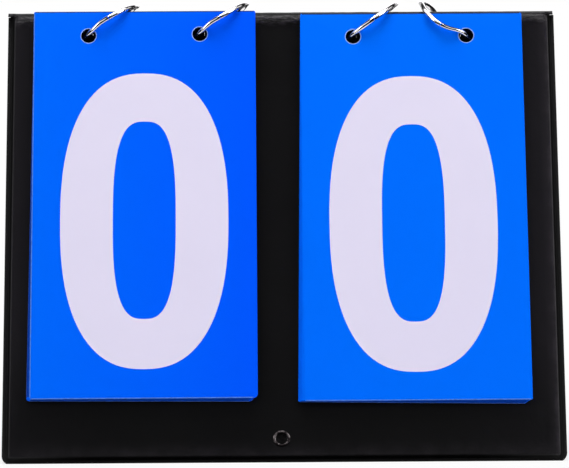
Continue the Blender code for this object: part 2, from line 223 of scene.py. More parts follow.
def liningLook(s):                             # a thin woven backing
    place = s.place()
    threads = {"Vector": place, "Scale": 1 / (6.3 * lining["thread"]), "Distortion": 0.4}
    warp = s.node("TexWave", {"bands_direction": "X"}, threads)
    weft = s.node("TexWave", {"bands_direction": "Z"}, threads)
    dust = s.cloud(place, 60.0, 4.0, 0.6)
    return {
        "Base Color": s.mix(s.clamp(dust * 0.8), lining["black"], lining["dust"]),
        "Roughness": 0.62 + 0.15 * dust,
        "Normal": s.bump(warp * weft, 0.35, 0.00012),
    }


def coreLook(s):                               # grey board, with its fibres and the layers at its edges
    place = s.place()
    fibre = s.cloud(s.turned(place, scale=(1, 1, 3.0)), 420.0, 5.0, 0.65)
    return {
        "Base Color": s.mix(s.smooth(fibre, 0.35, 0.7), boardCore["dark"], boardCore["light"]),
        "Roughness": 0.80 + 0.12 * fibre,
        "Normal": s.bump(fibre, 0.4, 0.00008),
    }


def nickelLook(s):                             # stamped plate, dulled in the hollows
    place = s.place()
    stain = s.smooth(s.cloud(place, 380.0, 4.0, 0.6), 0.34, 0.58)
    fine = s.cloud(place, 2600.0, 3.0, 0.6)
    return {
        "Base Color": s.mix(stain, nickel["bright"], nickel["dull"]),
        "Roughness": s.clamp(0.30 + 0.20 * stain + 0.06 * fine),
        "Normal": s.bump(fine, 0.20, 0.00003),
    }


def lacquerLook(s):                            # the eyelets under the rings are lacquered black, which also serves as painted shade inside the ring holes
    place = s.place()
    chips = s.smooth(s.cloud(place, 800.0, 4.0, 0.6), 0.62, 0.74)
    return {
        "Base Color": s.mix(chips, lacquer["black"], lacquer["chipped"]),
        "Roughness": 0.30 + 0.20 * chips,
        "Normal": s.bump(chips, 0.10, 0.00003),
    }


def chromeLook(s):                             # plated wire with rub marks along it
    place = s.place()
    blotch = s.smooth(s.cloud(place, 700.0, 4.0, 0.65), 0.50, 0.78)
    fine = s.cloud(place, 3000.0, 2.0, 0.5)
    return {
        "Base Color": s.mix(blotch, chrome["bright"], chrome["dull"]),
        "Roughness": s.clamp(0.05 + 0.13 * blotch + 0.03 * fine),
        "Normal": s.bump(fine, 0.06, 0.00002),
    }


def blueLook(s):                               # printed plastic, with painted light: the blue is a little deeper at the middle of the tent and paler towards its ends
    place = s.place()
    ends = {"Value": s.axis(place, "X"), "From Min": blue["leftEnd"], "From Max": blue["rightEnd"]}
    stops = [(0.0, blue["left"]), (0.47, blue["middle"]), (0.53, blue["right"]), (1.0, blue["right"])]
    tone = s.node("ValToRGB", {"stops": stops}, {0: s.node("MapRange", None, ends)})
    patch = s.cloud(place, 30.0, 3.0, 0.6)
    grain = s.cloud(place, 1500.0, 2.0, 0.5)
    shade = s.clamp(0.985 + 0.03 * (patch - 0.5) + 0.010 * (grain - 0.5))
    return {
        "Base Color": s.node("HueSaturation", None, {"Color": tone, "Value": shade}),
        "Roughness": 0.34 + 0.08 * patch,
        "Normal": s.bump(grain, 0.05, 0.00003, s.bump(patch, 0.10, 0.0006)),
    }


def edgeLook(color, rough):                    # the cut edge, where the sheet's paler plastic shows; its darker and brighter copies are painted shade and painted light
    def look(s):
        place = s.place()
        fleck = s.cloud(place, 900.0, 4.0, 0.6)
        darker = tuple(0.72 * c for c in color)
        return {
            "Base Color": s.mix(s.smooth(fleck, 0.3, 0.7), color, darker),
            "Roughness": rough + 0.1 * fleck,
            "Normal": s.bump(fleck, 0.15, 0.00004),
        }
    return look


def inkLook(s):                                # opaque print, a shade uneven
    place = s.place()
    roll = s.cloud(place, 45.0, 3.0, 0.6)
    dots = s.cloud(place, 1800.0, 2.0, 0.5)
    return {
        "Base Color": s.mix(s.clamp(roll * 0.8 + dots * 0.2), ink["light"], ink["shade"]),
        "Roughness": 0.50 + 0.08 * roll,
        "Normal": s.bump(dots, 0.04, 0.00002),
    }


finishes = {
    "vinyl": finish("black vinyl", vinylLook, Specular_IOR_Level=0.17, Coat_Roughness=0.24),
    "lining": finish("lining cloth", liningLook, Specular_IOR_Level=0.3),
    "core": finish("grey board", coreLook, Specular_IOR_Level=0.2),
    "nickel": finish("nickel plate", nickelLook, Metallic=1.0),
    "lacquer": finish("black lacquer", lacquerLook, Specular_IOR_Level=0.4),
    "chrome": finish("chrome wire", chromeLook, Metallic=1.0),
    "blue": finish("blue plastic sheet", blueLook, Specular_IOR_Level=0.02),
    "edge": finish("cut edge", edgeLook(blue["edge"], 0.5), Specular_IOR_Level=0.1),
    # painted shade on the edges of the cards under the top one
    "innerEdge": finish("shaded edge", edgeLook(blue["innerEdge"], 0.5), Specular_IOR_Level=0.05),
    # painted light: the lowest card's edge, brighter than the cut edge
    "lastEdge": finish("lowest card's edge", edgeLook(blue["lastEdge"], 0.5), Specular_IOR_Level=0.1),
    "rim": finish("punched rim", edgeLook(blue["rim"], 0.45), Specular_IOR_Level=0.3),
    # painted shade in the rims of the cards under the top one
    "innerRim": finish("shaded rim", edgeLook(blue["innerRim"], 0.5), Specular_IOR_Level=0.02),
    # painted shade: a dark line along the cards' top edges
    "topEdge": finish("handled edge", edgeLook(blue["topEdge"], 0.5), Specular_IOR_Level=0.1),
    "ink": finish("numeral print", inkLook, Specular_IOR_Level=0.06),
}
print("finishes made")


# making pieces

def meshOf(bm, name):
    mesh = bpy.data.meshes.new(name)
    bm.to_mesh(mesh)
    bm.free()
    return mesh


def evaluated(piece):                          # the mesh of a piece with its modifiers, or of a curve or text
    bpy.context.view_layer.update()
    mesh = bpy.data.meshes.new_from_object(piece.evaluated_get(bpy.context.evaluated_depsgraph_get()))
    bpy.data.objects.remove(piece, do_unlink=True)
    return mesh


def newObject(name, data):
    piece = bpy.data.objects.new(name, data)
    bpy.context.scene.collection.objects.link(piece)
    return piece


def carved(mesh, cutter):
    piece = newObject("carving", mesh)
    tool = newObject("tool", cutter)
    modifier = piece.modifiers.new("cut", "BOOLEAN")
    modifier.object = tool
    modifier.operation = "DIFFERENCE"
    result = evaluated(piece)
    bpy.data.objects.remove(tool, do_unlink=True)
    return result


def dress(name, mesh, materials, body, nodes=(), place=None, sharp=35):
    if place:
        mesh.transform(place)
    for key in materials:
        mesh.materials.append(finishes[key])
    mesh.shade_smooth()
    mesh.set_sharp_from_angle(angle=math.radians(sharp))
    piece = newObject(name, mesh)
    if body:
        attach(piece, body)
    if nodes:
        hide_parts(*nodes)
    return piece


def rampOf(value, width):                      # 0 at no value, 1 at the full width
    return min(1.0, max(0.0, value / width))


def sliced(bm, spot, normal, **choices):
    bmesh.ops.bisect_plane(bm, geom=bm.verts[:] + bm.edges[:] + bm.faces[:], plane_co=spot, plane_no=normal,
                           **choices)


def lathed(bm, profile, steps, closed=False):  # a profile of radius and height pairs, spun round Z
    verts = [bm.verts.new((radius, 0, height)) for radius, height in profile]
    edges = [bm.edges.new(pair) for pair in zip(verts, verts[1:] + (verts[:1] if closed else []))]
    bmesh.ops.spin(bm, geom=verts + edges, cent=(0, 0, 0), axis=(0, 0, 1), angle=2 * math.pi, steps=steps,
                   use_merge=True)
    bmesh.ops.remove_doubles(bm, verts=bm.verts[:], dist=1e-6)


def rod(bm, radius, start, end, steps, place):
    bmesh.ops.create_cone(bm, cap_ends=True, segments=steps, radius1=radius, radius2=radius,
                          depth=end - start, matrix=place @ Matrix.Translation((0, 0, (start + end) / 2)))


across = Matrix.Rotation(math.pi / 2, 4, "X")  # turns a piece's own Z to face out of a board

# boards: the vinyl skins over the core

ringCount = 4
ringRadius = 0.0150
eyeletKeys = [str(k) for k in range(1, ringCount + 1)] + ["bottom"]
eyeletAt = {}                                  # side and key to x and s on that board, from the frame's boxes
for side in boardPlace:
    for key in eyeletKeys:
        node = f"{side}_eyelet_{key}" if key != "bottom" else f"{side}_bottom_eyelet"
        low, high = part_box(node)
        spot = boardPlace[side].inverted() @ ((low + high) / 2)
        eyeletAt[side, key] = (spot.x, -spot.z)

ground = (0.4, 0.4, 0.02)                      # the block below the table top that cuts the skins' feet
skin = {
    "width": 0.2309, "aside": 0.00025, "thickness": 0.00045, "corner": 0.0040, "cornerSteps": 14,
    "top": 0.0012,                             # s where the skin meets the spine
    "edgeAbove": 0.0080,                       # the seam's outline starts this far above the top; its sides run straight
    # the welded seam from the outer edge in: step width and height out of the face
    "edge": -0.00175,
    "seam": [(0.00010, -0.00160), (0.00110, -0.00157), (0.00025, -0.00172), (0.00025, -0.00180),
             (0.00025, -0.00168), (0.00030, -0.00110), (0.00030, -0.00045), (0.00030, -0.00008),
             (0.00035, 0.00006), (0.00040, 0.00003)],
    "ringHole": 0.0049, "smallHole": 0.00295, "holeReach": 0.004, "holeSteps": 48,
    "columns": 96, "rows": 84, "fineRows": 24, "fineTop": 0.012,
    "swell": 0.00007, "roll": 0.00042, "rollTop": 0.0031, "rollReach": 0.0026,
    "pucker": 0.00016, "puckerReach": 0.0040, "lip": 0.0016,
    "margin": 0.004, "marginFade": 0.003, "wander": 0.0005,
    # paint: the painted highlight on the ridge, the dull seam, darkened partly with painted shade, with its lighter
    # line, and the painted highlight along the wrinkled fold at the top
    "ridge": 0.0034, "ridgeOut": 0.0005, "ridgeIn": {"left": 0.0015, "right": 0.0015, "bottom": 0.0034},
    # how bright the painted highlight on the ridge is at each edge, brightest at the right where the light falls
    "ridgeShare": {"left": 0.12, "right": 0.9, "bottom": 0.30},
    "dull": 0.0029, "dullFade": 0.0004, "edgeLine": 0.0010, "edgeLineWidth": 0.0003, "edgeLineShare": 0.55,
    "foldTop": 0.0031, "foldReach": 0.0021, "foldMargin": 0.002,
}


def unevenness(x, s, seed):                    # how far the vinyl stands out of its true plane
    broad = noise.noise(Vector((x * 28, s * 28, seed))) + 0.5 * noise.noise(Vector((x * 70, s * 70, seed + 5)))
    inward = skin["width"] / 2 - abs(x)
    inside = rampOf(inward - skin["margin"], skin["marginFade"])
    wander = skin["wander"] * noise.noise(Vector((x * 90, 3, seed)))
    away = s - skin["rollTop"] - wander
    rise = (away / skin["lip"]) if away < 0 else (away / skin["rollReach"])
    roll = skin["roll"] * math.exp(-rise * rise)
    slant = noise.noise(Vector((x * 260 + s * 420, s * 160, seed + 9)))
    slant += 0.6 * noise.noise(Vector((x * 700 - s * 500, s * 420, seed + 2)))
    puckers = skin["pucker"] * math.exp(-(max(s - skin["rollTop"], 0) / skin["puckerReach"]) ** 2) * slant
    return skin["swell"] * broad + inside * (roll + puckers)


def skinMesh(side, seed):
    height = tent["slope"] + skin["edgeAbove"]
    middle = Vector((skin["aside"], -skin["edge"], skin["edgeAbove"] - height / 2))
    bm = bmesh.new()
    bmesh.ops.create_grid(bm, x_segments=1, y_segments=1, size=0.5,
                          matrix=(Matrix.Translation(middle) @ across
                                  @ Matrix.Diagonal((skin["width"], height, 1, 1))))
    corners = [v for v in bm.verts if v.co.z < middle.z]
    bmesh.ops.bevel(bm, geom=corners, affect="VERTICES", offset=skin["corner"], segments=skin["cornerSteps"],
                    profile=0.5, material=-1)
    face = max(bm.faces, key=lambda f: f.calc_area())
    level = skin["edge"]
    for width, rise in skin["seam"]:
        bmesh.ops.inset_region(bm, faces=[face], use_boundary=True, use_even_offset=True, thickness=width,
                               depth=rise - level)
        level = rise
    bmesh.ops.translate(bm, vec=(0, level, 0), verts=face.verts[:])
    half = skin["width"] / 2
    cuts = [("x", -half + skin["width"] * k / skin["columns"]) for k in range(1, skin["columns"])]
    cuts += [("z", -tent["slope"] * k / skin["rows"]) for k in range(1, skin["rows"])]
    cuts += [("z", -skin["fineTop"] * k / skin["fineRows"]) for k in range(1, skin["fineRows"])]
    for direction, at in cuts:
        normal = (1, 0, 0) if direction == "x" else (0, 0, 1)
        spot = (at, 0, 0) if direction == "x" else (0, 0, at)
        sliced(bm, spot, normal)
    sliced(bm, (0, 0, -skin["top"]), (0, 0, 1), clear_outer=True)
    for v in bm.verts:
        v.co.y -= unevenness(v.co.x, -v.co.z, seed)
    bmesh.ops.recalc_face_normals(bm, faces=bm.faces[:])
    if sum(f.normal.y for f in bm.faces) > 0:
        bmesh.ops.reverse_faces(bm, faces=bm.faces[:])
    piece = newObject("skin", meshOf(bm, "skin"))
    wall = piece.modifiers.new("wall", "SOLIDIFY")
    wall.thickness = skin["thickness"]
    wall.offset = -1
    wall.use_even_offset = True
    mesh = evaluated(piece)
    bm = bmesh.new()
    for key in eyeletKeys:
        x, s = eyeletAt[side, key]
        radius = skin["smallHole"] if key == "bottom" else skin["ringHole"]
        hole = Matrix.Translation((x, 0, -s)) @ across
        rod(bm, radius, -skin["holeReach"], skin["holeReach"], skin["holeSteps"], hole)
    mesh = carved(mesh, meshOf(bm, "holes"))
    mesh.transform(boardPlace[side])
    bm = bmesh.new()
    below = Matrix.Translation((0, 0, -ground[2] / 2)) @ Matrix.Diagonal((*ground, 1))
    bmesh.ops.create_cube(bm, size=1, matrix=below)
    mesh = carved(mesh, meshOf(bm, "ground"))
    paintSeam(mesh, boardPlace[side].inverted())
    return mesh


def paintSeam(mesh, toBoard):                  # where the painted highlights lie on the ridge and the folded top, and where the dull seam is darkened partly with painted shade
    ridges, pressed, folded = [], [], []
    for vertex in mesh.vertices:
        spot = toBoard @ vertex.co
        aside = spot.x - skin["aside"]
        inward = {"left": skin["width"] / 2 + aside, "right": skin["width"] / 2 - aside,
                  "bottom": tent["slope"] + spot.z}
        ridge = 0
        for edge, distance in inward.items():
            away = distance - skin["ridge"]
            reach = skin["ridgeOut"] if away < 0 else skin["ridgeIn"][edge]
            ridge = max(ridge, skin["ridgeShare"][edge] * math.exp(-(away / reach) ** 2))
        nearest = min(inward.values())
        line = math.exp(-((nearest - skin["edgeLine"]) / skin["edgeLineWidth"]) ** 2)
        # the fold's painted highlight lies on this band below the top
        fold = math.exp(-((-spot.z - skin["foldTop"]) / skin["foldReach"]) ** 2)
        ridges.append(ridge)
        # the dull seam, darkened partly with painted shade, less so along a lighter line
        pressed.append(rampOf(skin["dull"] - nearest, skin["dullFade"]) * (1 - skin["edgeLineShare"] * line))
        folded.append(fold * rampOf(nearest - skin["foldMargin"], skin["foldMargin"]))
    for name, values in (("raised", ridges), ("pressed", pressed), ("folded", folded)):
        mesh.attributes.new(name, "FLOAT", "POINT").data.foreach_set("value", values)


for seed, side in enumerate(boardPlace, 3):
    dress(side + "Skin", skinMesh(side, seed * 10.0), ["vinyl"], boardBody[side], [side + "_cover"],
          sharp=60)
    for node, key in ((side + "_core", "core"), (side + "_liner", "lining")):
        data = frame["nodes"][node].data
        data.materials.clear()
        data.materials.append(finishes[key])
print("boards covered")


# spine: the vinyl that wraps over the top

spine = {"width": 0.2300, "radius": 0.0015, "reach": 0.0014, "thickness": 0.0006, "arcSteps": 10, "crownSteps": 8,
         "columns": 260, "ripple": 0.00016, "sag": 0.00030, "earRise": 0.0009, "earWidth": 0.0030,
         "pinchReach": 0.003, "blendReach": 0.0035}


def seamDepth(inward):                         # how far out of the face the seam lies, this far in from the edge
    at, level = 0.0, skin["edge"]
    for width, height in skin["seam"]:
        if inward < at + width:
            return level + (height - level) * max(inward - at, 0) / width
        at, level = at + width, height
    return level


def spineMesh():
    shoulderY = -topY + spine["radius"] * (1 - math.sin(lean)) / math.cos(lean)
    shoulder = Vector((0, shoulderY, topZ - spine["radius"]))
    half = [boardPlace["front"] @ Vector((0, 0, -spine["reach"]))]
    for step in range(spine["arcSteps"] + 1):
        angle = lean + (math.pi / 2 - lean) * step / spine["arcSteps"]
        half.append(shoulder + spine["radius"] * Vector((0, -math.cos(angle), math.sin(angle))))
    steps = spine["crownSteps"]
    crown = [Vector((0, shoulder.y * (1 - 2 * k / steps), topZ)) for k in range(1, steps)]
    section = half + crown + [Vector((0, -p.y, p.z)) for p in reversed(half)]
    bm = bmesh.new()
    verts = [bm.verts.new(p - Vector((spine["width"] / 2, 0, 0))) for p in section]
    edges = [bm.edges.new(pair) for pair in zip(verts, verts[1:])]
    swept = bmesh.ops.extrude_edge_only(bm, edges=edges)
    ends = [g for g in swept["geom"] if isinstance(g, bmesh.types.BMVert)]
    bmesh.ops.translate(bm, vec=(spine["width"], 0, 0), verts=ends)
    for k in range(1, spine["columns"]):
        x = -spine["width"] / 2 + spine["width"] * k / spine["columns"]
        sliced(bm, (x, 0, 0), (1, 0, 0))
    for v in bm.verts:
        inward = spine["width"] / 2 - abs(v.co.x)
        over = max(0.0, 1 - abs(v.co.y) / abs(shoulder.y))
        ripple = noise.noise(Vector((v.co.x * 190, v.co.y * 260, v.co.z * 260)))
        sag = spine["sag"] * over * (0.6 + 0.4 * noise.noise(Vector((v.co.x * 60, 2, 0))))
        v.co.z -= sag + spine["ripple"] * abs(ripple)
        v.co.y -= math.copysign(spine["ripple"], v.co.y) * ripple * 0.6
        pinch = seamDepth(inward)              # the ends are drawn in as the seam is, and stand up in small ears
        v.co.y -= math.copysign(pinch, -v.co.y) * min(1.0, abs(v.co.y) / spine["pinchReach"])
        v.co.z += pinch * 0.3 * over + spine["earRise"] * math.exp(-(inward / spine["earWidth"]) ** 2) * over
    bmesh.ops.recalc_face_normals(bm, faces=bm.faces[:])
    if sum(f.normal.z for f in bm.faces) < 0:
        bmesh.ops.reverse_faces(bm, faces=bm.faces[:])
    piece = newObject("spine", meshOf(bm, "spine"))
    wall = piece.modifiers.new("wall", "SOLIDIFY")
    wall.thickness = spine["thickness"]
    wall.offset = -1
    return evaluated(piece)


spineSkin = dress("spineSkin", spineMesh(), ["vinyl"], None, ["spine_fold"], sharp=60)
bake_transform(spineSkin)
print("spine wrapped")


# eyelets

eyelet = {
    "steps": 64,
    "ring": {"bore": 0.0043, "barrel": 0.0046, "flange": 0.0064, "rear": 0.0059},
    "bottom": {"bore": 0.0024, "barrel": 0.00265, "flange": 0.00352, "rear": 0.0034},
    "front": (0.00012, 0.00046), "back": (-0.00292, -0.00325), "rollSteps": 8, "dent": 0.00006, "oval": 0.95,
}


def eyeletMesh(size, seed):
    low, high = eyelet["front"]
    near, far = eyelet["back"]
    middle, half = (size["bore"] + size["flange"]) / 2, (size["flange"] - size["bore"]) / 2
    profile = []                               # radius and height, up from the bore, over the rolled flange and down
    for step in range(eyelet["rollSteps"] + 1):
        angle = math.pi * (1 - step / eyelet["rollSteps"])
        profile.append((middle + half * math.cos(angle), low + (high - low) * math.sin(angle) ** 0.7))
    profile += [(size["barrel"], low), (size["barrel"], near), (size["rear"], near), (size["rear"], (near + far) / 2),
                (size["rear"] - 0.0003, far), (size["bore"] + 0.0002, far), (size["bore"], near)]
    bm = bmesh.new()
    lathed(bm, profile, eyelet["steps"], closed=True)
    for v in bm.verts:
        if v.co.z > low:
            v.co.z += eyelet["dent"] * noise.noise(v.co * 900 + Vector((seed, 0, 0)))
    bmesh.ops.recalc_face_normals(bm, faces=bm.faces[:])
    return meshOf(bm, "eyelet")


for number, ((side, key), (x, s)) in enumerate(eyeletAt.items()):
    node = f"{side}_eyelet_{key}" if key != "bottom" else f"{side}_bottom_eyelet"
    size = eyelet["bottom"] if key == "bottom" else eyelet["ring"]
    place = boardPlace[side] @ Matrix.Translation((x, 0, -s)) @ across
    if key == "bottom":                        # the small ones were set a little out of round
        place = place @ Matrix.Diagonal((1, eyelet["oval"], 1, 1))
    # the ring eyelets' black lacquer also serves as painted shade inside the ring holes
    plate = "nickel" if key == "bottom" else "lacquer"
    mesh = eyeletMesh(size, number * 7.0)
    dress(f"{side}Eyelet_{key}", mesh, [plate], boardBody[side], [node], place, 50)


# the front board's lining closes round each wire, and both linings close behind the small eyelets

collar = {"depth": -0.0026, "thickness": 0.0003, "rim": 0.0001, "slit": 0.0016, "steps": 48, "dimple": 0.0004,
          "rings": (0.66, 0.33, 0.0)}


def collarMesh(radius, slit):                  # a soft disc, opened where the wire passes
    bm = bmesh.new()
    outer = bmesh.ops.create_circle(bm, cap_ends=False, radius=radius, segments=collar["steps"])
    edges = list({e for v in outer["verts"] for e in v.link_edges})
    rings = [edges]
    center = slit or Vector((0, 0, 0))
    hole = collar["slit"] if slit else radius * 0.02
    for share in collar["rings"]:
        spot = Matrix.Translation(center * (1 - share)) @ Matrix.Scale(hole + (radius - hole) * share, 4)
        more = bmesh.ops.create_circle(bm, cap_ends=not slit and share == 0.0, radius=1.0,
                                       segments=collar["steps"], matrix=spot)
        for v in more["verts"]:
            v.co.z -= collar["dimple"] * (1 - share) * (0.7 + 0.6 * noise.noise(v.co * 700))
        rings.append(list({e for v in more["verts"] for e in v.link_edges if len(e.link_faces) < 2}))
    for first, second in zip(rings, rings[1:]):
        bmesh.ops.bridge_loops(bm, edges=first + second)
    bmesh.ops.recalc_face_normals(bm, faces=bm.faces[:])
    bmesh.ops.solidify(bm, geom=bm.faces[:], thickness=collar["thickness"])
    bmesh.ops.recalc_face_normals(bm, faces=bm.faces[:])
    return meshOf(bm, "collar")


def wireCrossing(k, place):                    # where ring k's centre line passes the plane of that place
    joint = joints[f"ring_{k}_turn"]
    axis = place.inverted().to_3x3() @ Vector(joint["axis"]).normalized()
    center = place.inverted() @ Vector(joint["pos_m"])
    along = axis.cross(Vector((0, 0, 1))).normalized()
    up = along.cross(axis)
    if up.z < 0:
        up = -up
    drop = -center.z / up.z
    reach = math.sqrt(max(ringRadius ** 2 - drop * drop, 0))
    spots = [center + up * drop + along * reach, center + up * drop - along * reach]
    return min(spots, key=lambda p: p.length)


for (side, key), (x, s) in eyeletAt.items():
    place = boardPlace[side] @ Matrix.Translation((x, 0, -s)) @ across @ Matrix.Translation((0, 0, collar["depth"]))
    if key == "bottom":
        backing = collarMesh(eyelet["bottom"]["bore"] - collar["rim"], None)
        dress(f"{side}Backing", backing, ["lining"], boardBody[side], (), place)
    elif side == "front":
        spot = wireCrossing(int(key), place)
        opened = collarMesh(eyelet["ring"]["bore"] - collar["rim"], spot)
        dress(f"liningCollar_{key}", opened, ["lining"], "root", (), place)
print("eyelets set")


# cards and their numerals

card = {"count": 10, "width": 0.0933, "height": 0.1676, "thickness": 0.00028, "pitch": 0.00038, "gap": 0.0007,
        "fan": 0.5, "cornerSteps": 8, "bore": {"top": 0.0031, "under": 0.0034}, "holeSteps": 56, "lip": 0.00034,
        "edge": 0.00042, "chamfer": 0.00007}
# slip and turns: how far the lower cards have gone aside and down, and round
# top and under: corner radii of the top card and of those under it; top left, top right, bottom left, bottom right
decks = {
    "left": {"holes": ((-0.08091, 0.01166), (-0.03411, 0.01111)), "middle": -0.05735, "strip": 0.01055,
             "slip": (-0.00022, 0.00035), "turns": (math.radians(-0.05), math.radians(0.40)),
             "numeral": (-0.05725, 0.0923),
             "top": (0.0007, 0.0007, 0.0006, 0.0018), "under": (0.0012, 0.0012, 0.0012, 0.0023)},
    "right": {"holes": ((0.0304, 0.01257), (0.07802, 0.01229)), "middle": 0.0549, "strip": 0.0102,
              "slip": (-0.00015, 0.0002), "turns": (math.radians(-0.08), math.radians(0.77)),
              "numeral": (0.0543, 0.0941),
              "top": (0.0007, 0.0007, 0.0006, 0.0006), "under": (0.0007, 0.0007, 0.0006, 0.0007)},
}


def middleOf(holes):
    (x1, s1), (x2, s2) = holes
    return (x1 + x2) / 2, (s1 + s2) / 2


def cardMesh(deck, corners, bore):             # in the card's own plane, from the middle of its two holes
    x, s = middleOf(deck["holes"])
    bm = bmesh.new()
    middle = Vector((deck["middle"] - x, 0, deck["strip"] - card["height"] / 2))
    sheet = Matrix.Translation(middle) @ across @ Matrix.Diagonal((card["width"], card["height"], 1, 1))
    bmesh.ops.create_grid(bm, x_segments=1, y_segments=1, size=0.5, matrix=sheet)
    for radius, (right, top) in zip(corners, ((False, True), (True, True), (False, False), (True, False))):
        far = [v for v in bm.verts if (v.co.x > middle.x) == right and (v.co.z > middle.z) == top]
        far = max(far, key=lambda v: (v.co - middle).length)
        bmesh.ops.bevel(bm, geom=[far], affect="VERTICES", offset=radius, segments=card["cornerSteps"],
                        profile=0.5, material=-1)
    bmesh.ops.inset_region(bm, faces=bm.faces[:], use_boundary=True, use_even_offset=True, thickness=card["edge"],
                           depth=0)
    face = max(bm.faces, key=lambda f: f.calc_area())
    outline = face.edges[:]
    bmesh.ops.delete(bm, geom=[face], context="FACES_ONLY")
    holes = []
    for hx, hs in deck["holes"]:
        spot = Matrix.Translation((hx - x, 0, s - hs))
        holes.append(spot.translation)
        rim = bmesh.ops.create_circle(bm, cap_ends=False, radius=bore + card["lip"], segments=card["holeSteps"],
                                      matrix=spot @ across)
        edges = list({e for v in rim["verts"] for e in v.link_edges})
        outline += edges
        inner = bmesh.ops.extrude_edge_only(bm, edges=edges)
        ring = [g for g in inner["geom"] if isinstance(g, bmesh.types.BMVert)]
        shrink = bore / (bore + card["lip"])
        bmesh.ops.scale(bm, vec=(shrink, shrink, shrink), space=spot.inverted(), verts=ring)
    bmesh.ops.triangle_fill(bm, use_beauty=True, edges=outline)
    bmesh.ops.recalc_face_normals(bm, faces=bm.faces[:])
    if bm.faces[0].normal.y > 0:
        bmesh.ops.reverse_faces(bm, faces=bm.faces[:])
    bmesh.ops.solidify(bm, geom=bm.faces[:], thickness=card["thickness"])
    depth = sum(v.co.y for v in bm.verts) / len(bm.verts)
    bmesh.ops.translate(bm, vec=(0, -depth, 0), verts=bm.verts[:])
    bmesh.ops.recalc_face_normals(bm, faces=bm.faces[:])
    outside = card["width"] / 2 - card["edge"] / 2, card["height"] / 2 - card["edge"] / 2

    def nearHole(spot):
        return min((Vector((spot.x, 0, spot.z)) - hole).length for hole in holes)

    for f in bm.faces:
        center = f.calc_center_median() - middle
        f.material_index = 2 if nearHole(center + middle) < bore + card["lip"] else 0
        beyond = abs(center.x) > outside[0] or abs(center.z) > outside[1]
        if abs(f.normal.y) < 0.5 and f.material_index == 0 or beyond:
            # faces along the top take slot 3, the painted shade line; the other edge faces take slot 1
            f.material_index = 3 if center.z > outside[1] else 1
    for v in bm.verts:                         # the cut edges are rounded over a little
        boundary = any(abs(f.normal.y) < 0.5 for f in v.link_faces)
        if boundary and nearHole(v.co) > bore * 1.5:
            v.co.y -= math.copysign(card["chamfer"], v.co.y)
    return meshOf(bm, "card")


numeral = {"outer": (0.0697, 0.1276, 2.42),    # width, height and squareness of the 0's two outlines
           "inner": (0.0261, 0.0852, 2.87),
           "steps": 96, "proud": 0.000012, "weight": 0.020, "curveSteps": 6}


def superellipse(width, height, power, steps):
    points = []
    for step in range(steps):
        angle = 2 * math.pi * step / steps
        c, s = math.cos(angle), math.sin(angle)
        points.append((width / 2 * math.copysign(abs(c) ** (2 / power), c),
                       height / 2 * math.copysign(abs(s) ** (2 / power), s)))
    return points


def numeralMesh(digit):                        # flat, centred, upright in XZ and facing -Y
    if digit == 0:
        data = bpy.data.curves.new("numeral", "CURVE")
        data.dimensions = "2D"
        for width, height, power in (numeral["outer"], numeral["inner"]):
            points = superellipse(width, height, power, numeral["steps"])
            spline = data.splines.new("POLY")
            spline.points.add(len(points) - 1)
            for slot, (px, py) in zip(spline.points, points):
                slot.co = (px, py, 0, 1)
            spline.use_cyclic_u = True
    else:
        data = bpy.data.curves.new("numeral", "FONT")
        data.body = str(digit)
        data.offset = numeral["weight"]
        data.resolution_u = numeral["curveSteps"]
    data.fill_mode = "BOTH"
    data.extrude = numeral["proud"]
    mesh = evaluated(newObject("numeral", data))
    low = Vector([min(v.co[k] for v in mesh.vertices) for k in range(3)])
    high = Vector([max(v.co[k] for v in mesh.vertices) for k in range(3)])
    if digit:
        width, height, power = numeral["outer"]
        tall = height / (high.y - low.y)
        wide = min(width / (high.x - low.x), tall)
        centred = Matrix.Translation((-(low.x + high.x) / 2, -(low.y + high.y) / 2, 0))
        mesh.transform(Matrix.Diagonal((wide, tall, 1, 1)) @ centred)
    mesh.transform(across)
    bm = bmesh.new()
    bm.from_mesh(mesh)
    bmesh.ops.remove_doubles(bm, verts=bm.verts[:], dist=1e-6)
    bmesh.ops.recalc_face_normals(bm, faces=bm.faces[:])
    bm.to_mesh(mesh)
    bm.free()
    return mesh


numerals = {digit: numeralMesh(digit) for digit in range(10)}
for side, deck in decks.items():
    holeX, holeS = middleOf(deck["holes"])
    numeralX, numeralS = deck["numeral"]
    sheets = {kind: cardMesh(deck, deck[kind], card["bore"][kind]) for kind in ("top", "under")}
    for i in range(card["count"]):
        out = card["gap"] + card["thickness"] / 2 + (card["count"] - 1 - i) * card["pitch"]
        share = (i / (card["count"] - 1)) ** card["fan"]
        (aside, down), (least, most) = deck["slip"], deck["turns"]
        place = boardPlace["front"] @ Matrix.Translation((holeX + share * aside, -out, -(holeS + share * down)))
        place = place @ Matrix.Rotation(least + share * (most - least), 4, "Y")
        body = f"{side}_leaf_{i}"
        sheet = sheets["under" if i else "top"]
        # the top card keeps its cut edge; the cards under it take painted shade on their edges, the lowest one
        # painted light
        edge = {0: "edge", card["count"] - 1: "lastEdge"}.get(i, "innerEdge")
        # the top card keeps its punched rim; the rims under it are painted shade
        rim = "innerRim" if i else "rim"
        inks = ["blue", edge, rim, "topEdge"]
        dress(f"{side}Card_{i}", sheet.copy(), inks, body, [f"{side}_card_{i}"], place, 30)
        skinOut = card["thickness"] / 2 + numeral["proud"] * 0.8
        front = place @ Matrix.Translation((numeralX - holeX, -skinOut, holeS - numeralS))
        dress(f"{side}Numeral_{i}", numerals[i].copy(), ["ink"], body, place=front)
        if i + 1 < card["count"]:              # the reverse reads upright once the card hangs behind
            rear = place @ Matrix.Translation((numeralX - holeX, skinOut, holeS - numeralS))
            rear = rear @ Matrix.Rotation(math.pi, 4, "X")
            dress(f"{side}Reverse_{i + 1}", numerals[i + 1].copy(), ["ink"], body, place=rear)
print("decks hung")


# rings

